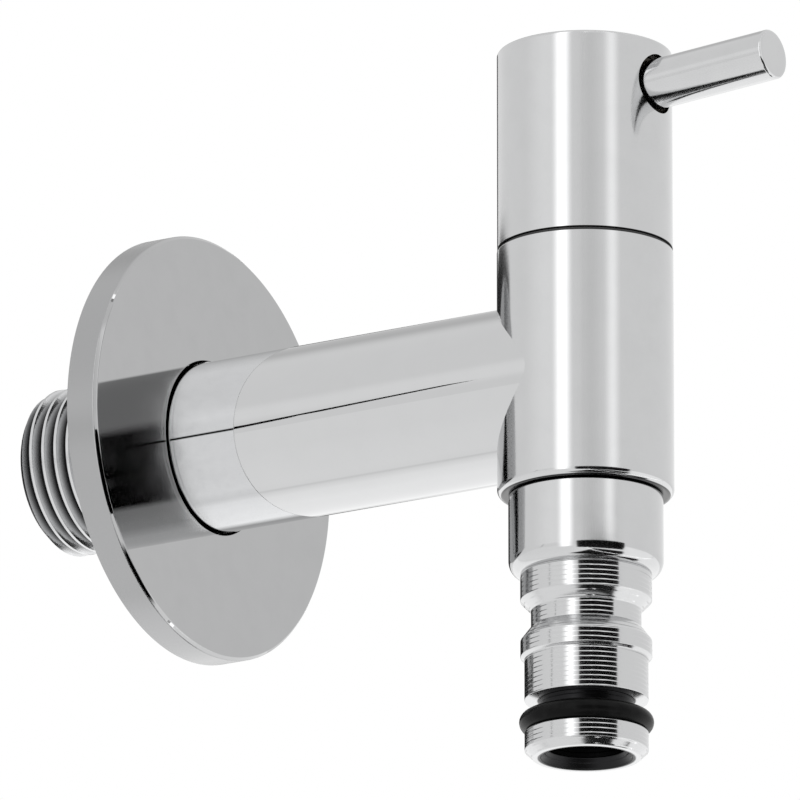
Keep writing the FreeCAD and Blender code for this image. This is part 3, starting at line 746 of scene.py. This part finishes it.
def makeCollar():
    low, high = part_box("outlet_bush")
    radius = (high.x - low.x) / 2 / mm
    seam = bodyLow.z / mm
    foot = low.z / mm
    edge = collarSizes["edgeRound"]
    outline = [(collarSizes["noseThread"], foot)]
    outline += [(reach, foot + (height - foot) * collarSizes["edgeStretch"])
                for reach, height in roundOff((radius - edge, foot + edge), edge, -90, 0,
                                              collarSizes["edgeSteps"])]
    outline += [
        (radius, seam - collarSizes["seamChamfer"]),
        (radius - collarSizes["seamChamfer"], seam),
        (collarSizes["threadRadius"], seam),
        (collarSizes["threadRadius"], high.z / mm),
        (collarSizes["bore"], high.z / mm),
        (collarSizes["bore"], high.z / mm - collarSizes["ledge"]),
        (collarSizes["noseThread"], high.z / mm - collarSizes["ledge"]),
    ]
    piece = turnPiece("outlet_collar", outline)
    breakEdges(piece)
    standOnBodyAxis(piece)
    finishPiece(piece, "tap", ["outlet_bush"], bodyChrome)


noseSizes = {
    "thread": 6.6,
    "ring": 8.05,
    "neck": 6.75,
    "shaft": 7.57,
    "groove": 5.75,
    "tip": 6.6,
    "mouth": 5.75,
    "mouthCone": 1.2,
    "bore": 4.7,
    # heights of the steps down from the collar
    "ringHeight": 3.3,
    "neckCone": 1.3,
    "neckHeight": 2.1,
    "shoulder": 1.7,
    "lowerRing": 2.0,
    "step": 0.3,
    "shaftHeight": 5.2,
    "grooveHeight": 4.0,
    "tipLand": 2.3,
    "tipCone": 0.9,
}


def makeNose():
    low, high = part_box("hose_nose")
    heights = [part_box("outlet_bush")[0].z / mm]
    for step in ("ringHeight", "neckCone", "neckHeight", "shoulder", "lowerRing", "step", "shaftHeight",
                 "grooveHeight", "tipLand", "tipCone"):
        heights.append(heights[-1] - noseSizes[step])
    piece = turnPiece("coupling_nose", [
        (noseSizes["bore"], high.z / mm),
        (noseSizes["thread"], high.z / mm),
        (noseSizes["thread"], heights[0]),
        (noseSizes["ring"], heights[0]),
        (noseSizes["ring"], heights[1]),
        (noseSizes["neck"], heights[2]),
        (noseSizes["neck"], heights[3]),
        (noseSizes["ring"], heights[4]),
        (noseSizes["ring"], heights[5]),
        (noseSizes["shaft"], heights[6]),
        (noseSizes["shaft"], heights[7]),
        (noseSizes["groove"], heights[7]),
        (noseSizes["groove"], heights[8]),
        (noseSizes["shaft"], heights[8]),
        (noseSizes["shaft"], heights[9]),
        (noseSizes["tip"], low.z / mm),
        (noseSizes["mouth"], low.z / mm),
        (noseSizes["bore"], low.z / mm + noseSizes["mouthCone"]),
    ])
    breakEdges(piece)
    standOnBodyAxis(piece)
    finishPiece(piece, "tap", ["hose_nose"], noseChrome)


sealSizes = {
    "section": 2.45,
    "partingWidth": 0.12,    # narrow band at the widest, where the mould's halves met
    "steps": 28,
}


def makeNoseSeal():
    low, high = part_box("nose_o_ring")
    section = sealSizes["section"] / 2
    middle = (high.x - low.x) / 2 / mm - section
    centre = (low.z + high.z) / 2 / mm
    half = math.degrees(math.asin(sealSizes["partingWidth"] / 2 / section))
    outline = roundOff((middle, centre), section, half, 360 - half, sealSizes["steps"])
    outline.append((middle + section, centre))
    piece = turnPiece("nose_seal", outline)
    standOnBodyAxis(piece)
    finishPiece(piece, "tap", ["nose_o_ring"], sealRubber)


makeBody()
makeCap()
makeLever()
makeArm()
makePipeThread()
makeFlange()
makeCollar()
makeNose()
makeNoseSeal()
print("chrome pieces made")

nodeFinishes = {
    "flange_grip_ring": sealRubber,
    "wall_gasket": sealRubber,
    "cartridge_o_ring": sealRubber,
    "seat_seal": sealRubber,
    "spindle_o_rings": sealRubber,
    "cartridge_housing": turnedBrass,
    "cartridge_spindle": turnedBrass,
    "stop_ring": turnedBrass,
    "handle_hub": paintedShadeBrass,
    "spindle_clip": springSteel,
    "lever_stud": springSteel,
    # the guide ring's black also paints the shade in the joint gap
    "slide_washer": blackAcetalGapShade,
    "guide_ring": blackAcetalGapShade,
    "outlet_washer": redFibre,
    "nose_washer": redFibre,
    "fixed_disc": lappedCeramic,
    "moving_disc": lappedCeramic,
}
for node, finish in nodeFinishes.items():
    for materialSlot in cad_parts[node].material_slots:
        materialSlot.material = finish
print("inner nodes finished")


# Studio

camera = {
    "azimuth": -57.3,
    "elevation": -16.0,
    "distance": 2.0,
    "frameSide": 800,        # pixels
    "pixelsPerMm": 8.16,
    "axesCrossing": (585.5, 382.6),   # pixel where the arm's axis meets the body's
    "sensor": 36.0,
    "clip": (0.05, 50),
}


def studioDirection(bearing, rise):
    # unit vector to a place seen from the tap; bearing counts to the right from the camera's side
    turn = math.radians(camera["azimuth"] + bearing)
    lift = math.radians(rise)
    return Vector((math.sin(turn) * math.cos(lift), -math.cos(turn) * math.cos(lift), math.sin(lift)))


def makeCamera():
    back = studioDirection(0, camera["elevation"])
    right = Vector((0, 0, 1)).cross(back).normalized()
    up = back.cross(right)
    pixel = mm / camera["pixelsPerMm"]
    middle = camera["frameSide"] / 2
    acrossAxes, downAxes = camera["axesCrossing"]
    target = bodyAxis + right * (middle - acrossAxes) * pixel + up * (downAxes - middle) * pixel
    data = bpy.data.cameras.new("camera")
    data.sensor_width = camera["sensor"]
    data.lens = camera["sensor"] * camera["distance"] / (camera["frameSide"] * pixel)
    data.clip_start, data.clip_end = camera["clip"]
    holder = bpy.data.objects.new("camera", data)
    bpy.context.scene.collection.objects.link(holder)
    holder.location = target + back * camera["distance"]
    holder.rotation_mode = "QUATERNION"
    holder.rotation_quaternion = (-back).to_track_quat("-Z", "Y")
    bpy.context.scene.camera = holder


# what the chrome sees: bearings count to the right of the camera's, sizes and levels are in metres,
# glow is the brightness against a white sky of 1, and fade the share of each side that thins out
cards = {
    "left_strip": {"bearing": -30.8, "rise": 16, "distance": 1.2, "width": 0.60, "height": 1.7,
                   "glow": 2.2, "fade": (0.5, 0.1)},
    "right_strip": {"bearing": 34.8, "rise": 16, "distance": 1.3, "width": 0.55, "height": 1.7,
                    "glow": 1.42, "fade": (0.5, 0.1)},
    "centre_shade": {"bearing": 6, "rise": 16, "distance": 1.6, "width": 1.16, "height": 0.36,
                     "glow": 0.86, "fade": (0.5, 0.3)},
    "left_halo": {"bearing": -52, "rise": 16, "distance": 2.0, "width": 2.8, "height": 0.9,
                  "glow": 1.14, "fade": (0.5, 0.4)},
    "far_shade": {"bearing": -169, "rise": 41, "distance": 1.5, "width": 1.5, "height": 1.5,
                  "glow": 0.66, "fade": (0.4, 0.4)},
    "nose_side": {"bearing": 21, "rise": 0, "distance": 0.12, "width": 0.175, "height": 0.0985,
                  "glow": 0.0, "fade": (0.04, 0.02), "level": -0.04075},
    "front_strip": {"bearing": -1.9, "rise": 0, "distance": 0.3, "width": 0.036, "height": 0.14,
                    "glow": 0.90, "fade": (0.25, 0.1), "level": 0.085},
    "front_low": {"bearing": 37.6, "rise": -63.6, "distance": 1.25, "width": 1.2, "height": 1.3,
                  "glow": 0.0, "fade": (0.1, 0.1)},
    "lever_low": {"bearing": 138, "rise": -56.5, "distance": 1.5, "width": 0.65, "height": 0.6,
                  "glow": 0.0, "fade": (0.1, 0.1)},
    "wall_side": {"bearing": -141, "rise": 0, "distance": 0.25, "width": 0.27, "height": 0.0868,
                  "glow": 0.02, "fade": (0.12, 0.012), "level": 0.0485},
    "wall_edge": {"bearing": -168, "rise": 0, "distance": 0.25, "width": 0.10, "height": 0.12,
                  "glow": 0.05, "fade": (0.3, 0.03), "level": 0.065},
}


def hideFromView(thing):
    # only the reflections see it
    thing.visible_camera = False
    thing.visible_diffuse = False
    thing.visible_shadow = False


def makeCard(name, place):
    bpy.ops.mesh.primitive_plane_add(size=1)
    card = bpy.context.active_object
    card.name = name
    card.scale = (place["width"], place["height"], 1)
    about = bodyAxis + Vector((0, 0, place.get("level", 0)))
    card.location = about + studioDirection(place["bearing"], place["rise"]) * place["distance"]
    card.rotation_mode = "QUATERNION"
    card.rotation_quaternion = (about - card.location).to_track_quat("Z", "Y")
    paint = Finish(name)
    spot = paint.node("ShaderNodeTexCoord", {}, {}, "Object")   # the plane runs from -0.5 to 0.5
    cover = 1.0
    for output, fade in zip(("X", "Y"), place["fade"]):
        side = paint.node("ShaderNodeMath", {"operation": "ABSOLUTE"}, {
            0: paint.node("ShaderNodeSeparateXYZ", {}, {0: spot}, output)})
        cover = paint.node("ShaderNodeMapRange", {"interpolation_type": "SMOOTHSTEP"}, {
            "Value": side, "From Min": 0.5, "From Max": 0.5 - fade, "To Min": 0.0, "To Max": 1.0}) * cover
    shine = paint.node("ShaderNodeEmission", {}, {"Strength": place["glow"]})
    clear = paint.node("ShaderNodeBsdfTransparent", {}, {})
    paint.show(paint.node("ShaderNodeMixShader", {}, {0: cover, 1: clear, 2: shine}))
    card.data.materials.append(paint.material)
    hideFromView(card)


# two rings round the arm's axis meet where the corner of arm and flange is mirrored: the flange shows the
# front one beside the mirrored arm, and the arm shows the back one
rings = {
    "radius": 1000,          # mm
    "thick": 2,              # mm
    "meet": -626.2,          # mm along the arm's axis
    "frontWide": 22,         # mm
    "backWide": 30,          # mm
    "lean": (0.00038, 0, -0.00112),   # radians
    "front": [(0, 0), (0.211, 0), (0.236, 0.5), (0.328, 0.65), (0.389, 1.0), (0.60, 1.0), (0.625, 0.42),
              (0.905, 0.42), (0.933, 0.12), (0.945, 0), (1, 0)],
    "back": [(0, 2.44), (0.15, 2.44), (0.222, 2.54), (0.2556, 2.31), (0.268, 2.5), (0.281, 2.82),
             (0.319, 2.94), (0.367, 3.0), (0.417, 3.0), (0.458, 1.0), (0.597, 1.0), (0.639, 1.45),
             (0.681, 1.89), (0.717, 2.19), (0.779, 2.24), (0.833, 2.23), (0.889, 2.27), (0.9125, 2.4),
             (0.936, 2.52), (0.959, 2.4), (0.9905, 2.4), (0.9917, 0), (0.9983, 0), (0.9995, 2.4),
             (1, 2.44)],
}


def makeRing(name, start, end, brightness):
    radius = rings["radius"]
    outside = radius + rings["thick"]
    ring = turnPiece(name, [(radius, start), (radius, end), (outside, end), (outside, start)])
    layAlongArm(ring)
    placePiece(ring, rings["lean"], (0, 0, 0))
    brightest = max(glow for position, glow in brightness)
    paint = Finish(name)
    face = paint.node("ShaderNodeCombineXYZ", {}, {"X": paint.part("X"), "Y": paint.part("Z")})
    turn = paint.node("ShaderNodeTexGradient", {"gradient_type": "RADIAL"}, {"Vector": face}, "Fac")
    stops = [(position, glow / brightest) for position, glow in brightness]
    tone = paint.node("ShaderNodeValToRGB", {"stops": stops}, {"Fac": turn})
    paint.show(paint.node("ShaderNodeEmission", {}, {"Color": tone, "Strength": brightest}))
    ring.data.materials.append(paint.material)
    hideFromView(ring)


# the thin dark line along the arm mirrors one slanting rod
rod = {
    "low": (-0.4340, 0.2615, 0.0028),   # metres
    "high": (-0.4311, 0.2111, 0.0806),
    "lowRadius": 0.006,
    "highRadius": 0.003,
    "sides": 24,
}


def makeRod():
    low = Vector(rod["low"])
    high = Vector(rod["high"])
    bpy.ops.mesh.primitive_cone_add(vertices=rod["sides"], radius1=rod["lowRadius"],
                                    radius2=rod["highRadius"], depth=(high - low).length,
                                    location=(low + high) / 2)
    pole = bpy.context.active_object
    pole.name = "rod"
    pole.rotation_mode = "QUATERNION"
    pole.rotation_quaternion = (high - low).to_track_quat("Z", "Y")
    paint = Finish("rod")
    paint.show(paint.node("ShaderNodeEmission", {}, {"Strength": 0.0}))
    pole.data.materials.append(paint.material)
    hideFromView(pole)


floorPlan = {
    "depth": -1.6,             # metres
    "side": 40.0,
    "ends": (-2.585, 2.585),   # stretch of X the tones run over, metres
    "tones": [(0, 1.08), (0.45, 1.12), (0.5, 1.1), (0.513, 0.95), (0.53, 1.1), (0.58, 1.25), (0.7, 1.32),
              (1, 1.3)],
}


def makeFloor():
    # lit from below like a light table
    bpy.ops.mesh.primitive_plane_add(size=floorPlan["side"], location=(0, 0, floorPlan["depth"]))
    floor = bpy.context.active_object
    floor.name = "floor"
    brightest = max(tone for position, tone in floorPlan["tones"])
    paint = Finish("light_table")
    along = paint.between(paint.part("X"), *[end / mm for end in floorPlan["ends"]])
    stops = [(position, tone / brightest) for position, tone in floorPlan["tones"]]
    tone = paint.node("ShaderNodeValToRGB", {"stops": stops}, {"Fac": along})
    paint.show(paint.node("ShaderNodeEmission", {}, {"Color": tone, "Strength": brightest}))
    floor.data.materials.append(paint.material)


def makeWorld():
    world = bpy.data.worlds.new("studio")
    world.use_nodes = True
    world.node_tree.nodes["Background"].inputs["Color"].default_value = (1, 1, 1, 1)
    world.node_tree.nodes["Background"].inputs["Strength"].default_value = 1.0
    bpy.context.scene.world = world
    bpy.context.scene.view_settings.view_transform = "Standard"
    bpy.context.scene.view_settings.look = "None"


makeCamera()
makeFloor()
makeWorld()
makeRod()
makeRing("front_ring", rings["meet"] - rings["frontWide"], rings["meet"], rings["front"])
makeRing("back_ring", rings["meet"], rings["meet"] + rings["backWide"], rings["back"])
for name, place in cards.items():
    makeCard(name, place)
print("studio set")
